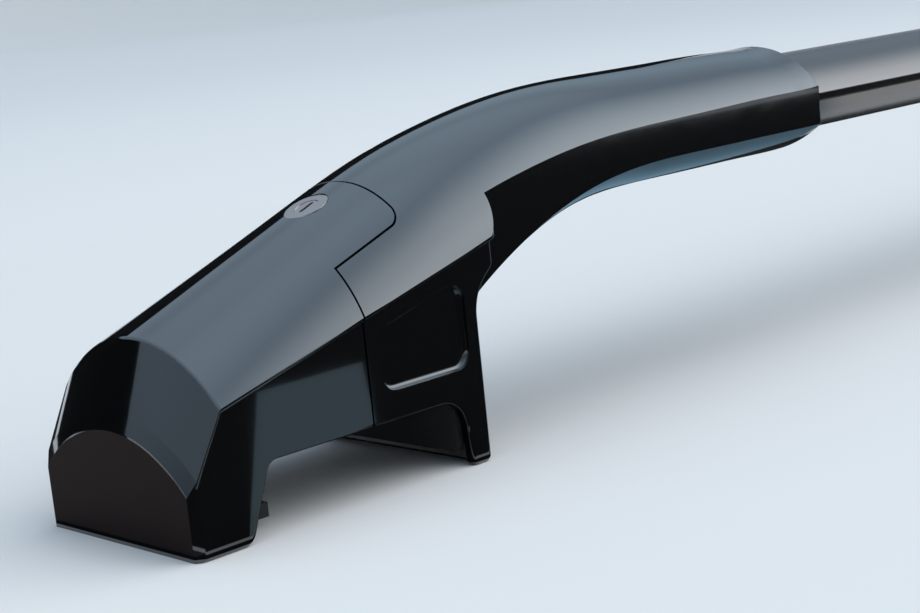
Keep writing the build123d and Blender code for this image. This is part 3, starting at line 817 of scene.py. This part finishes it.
def direction(azimuth, elevation):
    """The unit vector to this azimuth, from +Y towards +X, and elevation."""
    level = math.cos(elevation)
    return Vector((math.sin(azimuth) * level, math.cos(azimuth) * level, math.sin(elevation)))


class CROSSBARS_OT_mouldings(Operator):
    """Finish the gloss black foot bodies and end covers"""

    bl_idname = "crossbars.mouldings"
    bl_label = "Mouldings"

    def execute(self, context):
        material = gloss_black_plastic(context.scene.crossbars.finish)
        for corner in CORNERS:
            for name in ("foot_body", "end_cover"):
                smooth_copy(corner, name, material)
        return {"FINISHED"}


class CROSSBARS_OT_bars(Operator):
    """Finish the aluminium bars"""

    bl_idname = "crossbars.bars"
    bl_label = "Bars"

    def execute(self, context):
        material = satin_aluminium(context.scene.crossbars.finish)
        for bar in BARS:
            paint(frame["nodes"][bar].data, material)
        return {"FINISHED"}


class CROSSBARS_OT_locks(Operator):
    """Finish the locks"""

    bl_idname = "crossbars.locks"
    bl_label = "Locks"

    def execute(self, context):
        material = bright_zinc(context.scene.crossbars.finish)
        dress_all(("lock_barrel", "lock_plug"), material)
        return {"FINISHED"}


class CROSSBARS_OT_bolts(Operator):
    """Wind the threads of the clamp bolts"""

    bl_idname = "crossbars.bolts"
    bl_label = "Bolts"

    def execute(self, context):
        details = context.scene.crossbars.details
        material = plated_steel()
        values = {
            "Length": (BOLT_THREAD[1] - BOLT_THREAD[0]) * MM,
            "Radius": BOLT_RADIUS * MM,
            "Pitch": details.thread_pitch,
            "Depth": details.thread_depth,
            "Material": material,
        }
        thread = grown("thread", thread_tree(), values)
        for corner in CORNERS:
            threaded_bolt(corner, thread, details.thread_depth, material)
        bpy.data.meshes.remove(thread)
        dress_all(("lock_cam", "base_screws", "clamp_nut", "bar_screws"), material)
        return {"FINISHED"}


class CROSSBARS_OT_pads(Operator):
    """Finish the rubber pads and rib their seats"""

    bl_idname = "crossbars.pads"
    bl_label = "Pads"

    def execute(self, context):
        details = context.scene.crossbars.details
        material = black_rubber()
        dress_all(("base_pad", "jaw_pad", "claw_pad"), material)
        values = {
            "Count": details.rib_count,
            "Span": (PAD_RIBS[1] - PAD_RIBS[0]) * MM,
            "Radius": details.rib_radius,
            "Length": PAD_RIB_LENGTH * MM,
            "Material": material,
        }
        ribs = grown("ribs", rib_tree(), values)
        for corner in CORNERS:
            ribbed_pad(corner, ribs)
        bpy.data.meshes.remove(ribs)
        return {"FINISHED"}


class CROSSBARS_OT_clamps(Operator):
    """Finish the clamp bases and claws"""

    bl_idname = "crossbars.clamps"
    bl_label = "Clamps"

    def execute(self, context):
        dress_all(("clamp_base",), cast_alloy())
        dress_all(("clamp_claw",), powder_coat())
        return {"FINISHED"}


class CROSSBARS_OT_studio(Operator):
    """Set the floor, the light and the camera"""

    bl_idname = "crossbars.studio"
    bl_label = "Studio"

    def execute(self, context):
        settings = context.scene.crossbars.studio
        scene = context.scene
        scene.view_settings.view_transform = "Standard"
        self.floor(scene, settings)
        self.cards(scene)
        self.sky(scene, settings)
        self.lamps(scene)
        self.camera(scene, settings)
        return {"FINISHED"}

    def floor(self, scene, settings):
        """A round floor that curves up into a low wall all round."""
        flat = settings.floor_reach - FLOOR_BEND
        profile = [(flat, 0.0)]
        for step in range(1, FLOOR_BEND_STEPS + 1):
            angle = QUARTER_TURN * step / FLOOR_BEND_STEPS
            profile.append((flat + FLOOR_BEND * math.sin(angle), FLOOR_BEND - FLOOR_BEND * math.cos(angle)))
        profile.append((settings.floor_reach, FLOOR_BEND + FLOOR_WALL))
        points = [(0.0, 0.0, 0.0)]
        faces = []
        for radius, height in profile:
            for turn in range(FLOOR_TURNS):
                angle = 2 * math.pi * turn / FLOOR_TURNS
                points.append((radius * math.cos(angle), radius * math.sin(angle), height))
        for turn in range(FLOOR_TURNS):
            after = (turn + 1) % FLOOR_TURNS
            faces.append((0, 1 + turn, 1 + after))
            for ring in range(len(profile) - 1):
                low, high = 1 + ring * FLOOR_TURNS, 1 + (ring + 1) * FLOOR_TURNS
                faces.append((low + turn, high + turn, high + after, low + after))
        floor = self.stage_piece(scene, "floor", points, faces, self.floor_finish(settings))
        floor.data.shade_smooth()

    def floor_finish(self, settings):
        """Matt and pale from above. From below the floor lets the view through."""
        material, shader = plain_material("pale_floor")
        set_inputs(shader, Base_Color=(*settings.floor_colour, 1.0), Roughness=0.95, Specular_IOR_Level=0.1)
        side = add_node(material, "ShaderNodeNewGeometry")
        clear = add_node(material, "ShaderNodeBsdfTransparent")
        blend = add_node(material, "ShaderNodeMixShader")
        join(material, side, "Backfacing", blend, 0)
        join(material, shader, "BSDF", blend, 1)
        join(material, clear, "BSDF", blend, 2)
        join(material, blend, "Shader", material.node_tree.nodes["Material Output"], "Surface")
        return material

    def stage_piece(self, scene, name, points, faces, material):
        """A piece of the stage, which is not part of the object."""
        mesh = bpy.data.meshes.new(name)
        mesh.from_pydata(points, [], faces)
        mesh.materials.append(material)
        piece = bpy.data.objects.new(name, mesh)
        scene.collection.objects.link(piece)
        return piece

    def cards(self, scene):
        """Dark and grey cards, as a photographer sets beside polished black pieces."""
        for name, colour, outline in FLOOR_CARDS:
            self.card(scene, name, colour, [(x, y, CARD_LIFT) for x, y in outline])
        self.card(scene, "back_card", BACK_COLOUR, BACK)

    def card(self, scene, name, colour, corners):
        """A matt card that only the gloss sees."""
        material, shader = plain_material(name)
        set_inputs(shader, Base_Color=(*colour, 1.0), Roughness=1.0, Specular_IOR_Level=0.0)
        card = self.stage_piece(scene, name, corners, [tuple(range(len(corners)))], material)
        card.visible_camera = False
        card.visible_diffuse = False
        card.visible_shadow = False

    def sky(self, scene, settings):
        """Soft light from all round, brighter overhead and brightest low at one side."""
        world = bpy.data.worlds.new("soft_sky")
        world.use_nodes = True
        scene.world = world
        nodes, links = world.node_tree.nodes, world.node_tree.links
        coords = nodes.new("ShaderNodeTexCoord")
        split = nodes.new("ShaderNodeSeparateXYZ")
        ramp = nodes.new("ShaderNodeValToRGB")
        stops = ramp.color_ramp.elements
        while len(stops) < len(SKY_STEPS):
            stops.new(1.0)
        for stop, (height, level) in zip(stops, SKY_STEPS):
            stop.position = height
            stop.color = (*(level * part for part in settings.sky_colour), 1.0)
        links.new(coords.outputs["Generated"], split.inputs["Vector"])
        links.new(split.outputs["Z"], ramp.inputs["Fac"])
        links.new(ramp.outputs["Color"], nodes["Background"].inputs["Color"])
        nodes["Background"].inputs["Strength"].default_value = settings.sky_level
        toward = nodes.new("ShaderNodeVectorMath")
        toward.operation = "DOT_PRODUCT"
        toward.inputs[1].default_value = direction(BRIGHT_SIDE_AZIMUTH, BRIGHT_SIDE_ELEVATION)
        fade = nodes.new("ShaderNodeMapRange")
        fade.inputs["From Min"].default_value = math.cos(BRIGHT_SIDE_REACH)
        fade.inputs["From Max"].default_value = math.cos(BRIGHT_SIDE_CORE)
        soften = nodes.new("ShaderNodeMath")
        soften.operation = "POWER"
        soften.inputs[1].default_value = BRIGHT_SIDE_POWER
        strength = nodes.new("ShaderNodeMath")
        strength.operation = "MULTIPLY"
        strength.inputs[1].default_value = settings.side_level
        side = nodes.new("ShaderNodeBackground")
        side.inputs["Color"].default_value = (*settings.side_colour, 1.0)
        both = nodes.new("ShaderNodeAddShader")
        links.new(coords.outputs["Generated"], toward.inputs[0])
        links.new(toward.outputs["Value"], fade.inputs["Value"])
        links.new(fade.outputs["Result"], soften.inputs[0])
        links.new(soften.outputs["Value"], strength.inputs[0])
        links.new(strength.outputs["Value"], side.inputs["Strength"])
        links.new(nodes["Background"].outputs["Background"], both.inputs[0])
        links.new(side.outputs["Background"], both.inputs[1])
        links.new(both.outputs["Shader"], nodes["World Output"].inputs["Surface"])

    def lamps(self, scene):
        """One broad lamp overhead for the shadow on the floor, left out of the reflections."""
        lamp = bpy.data.lights.new("key", "AREA")
        lamp.size = LAMP_SIZE
        lamp.energy = LAMP_ENERGY
        holder = bpy.data.objects.new("key", lamp)
        holder.location = LAMP_PLACE
        aim = Vector(LAMP_TARGET) - Vector(LAMP_PLACE)
        holder.rotation_euler = aim.to_track_quat("-Z", "Y").to_euler()
        holder.visible_glossy = False
        scene.collection.objects.link(holder)

    def camera(self, scene, settings):
        """The camera at the photograph's viewing angle, with its slight roll."""
        data = bpy.data.cameras.new("camera")
        data.lens = settings.lens
        data.sensor_width = SENSOR_WIDTH
        data.clip_start = 0.01
        data.clip_end = 200.0
        ahead = direction(CAMERA_AZIMUTH, -CAMERA_ELEVATION)
        right = ahead.cross(Vector((0, 0, 1))).normalized()
        up = right.cross(ahead)
        turned_right = right * math.cos(CAMERA_ROLL) + up * math.sin(CAMERA_ROLL)
        turned_up = up * math.cos(CAMERA_ROLL) - right * math.sin(CAMERA_ROLL)
        turn = Matrix((turned_right, turned_up, -ahead)).transposed().to_4x4()
        camera = bpy.data.objects.new("camera", data)
        camera.matrix_world = Matrix.Translation(CAMERA_PLACE) @ turn
        scene.collection.objects.link(camera)
        scene.camera = camera


class CROSSBARS_PT_panel(Panel):
    """Crossbars in the sidebar"""

    bl_idname = "CROSSBARS_PT_panel"
    bl_label = "Crossbars"
    bl_space_type = "VIEW_3D"
    bl_region_type = "UI"
    bl_category = "Crossbars"

    def draw(self, context):
        layout = self.layout
        settings = context.scene.crossbars
        for group in (settings.finish, settings.details, settings.studio):
            box = layout.box()
            for name in group.bl_rna.properties.keys():
                if name not in ("rna_type", "name"):
                    box.prop(group, name)
        for operator in OPERATORS:
            layout.operator(operator.bl_idname)


OPERATORS = (
    CROSSBARS_OT_mouldings,
    CROSSBARS_OT_bars,
    CROSSBARS_OT_locks,
    CROSSBARS_OT_clamps,
    CROSSBARS_OT_bolts,
    CROSSBARS_OT_pads,
    CROSSBARS_OT_studio,
)
GROUPS = (CrossbarFinish, CrossbarStudio, CrossbarDetails, CrossbarSettings)
CLASSES = (*GROUPS, *OPERATORS, CROSSBARS_PT_panel)


def register():
    """Registers the classes and hangs the settings on the scene."""
    for item in CLASSES:
        bpy.utils.register_class(item)
    bpy.types.Scene.crossbars = PointerProperty(type=CrossbarSettings)


def unregister():
    """Takes the settings and the classes away again."""
    del bpy.types.Scene.crossbars
    for item in reversed(CLASSES):
        bpy.utils.unregister_class(item)


def main():
    """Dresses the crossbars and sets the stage."""
    register()
    bpy.ops.crossbars.mouldings()
    bpy.ops.crossbars.bars()
    bpy.ops.crossbars.locks()
    bpy.ops.crossbars.clamps()
    bpy.ops.crossbars.bolts()
    bpy.ops.crossbars.pads()
    bpy.ops.crossbars.studio()


if __name__ == "__main__":
    main()
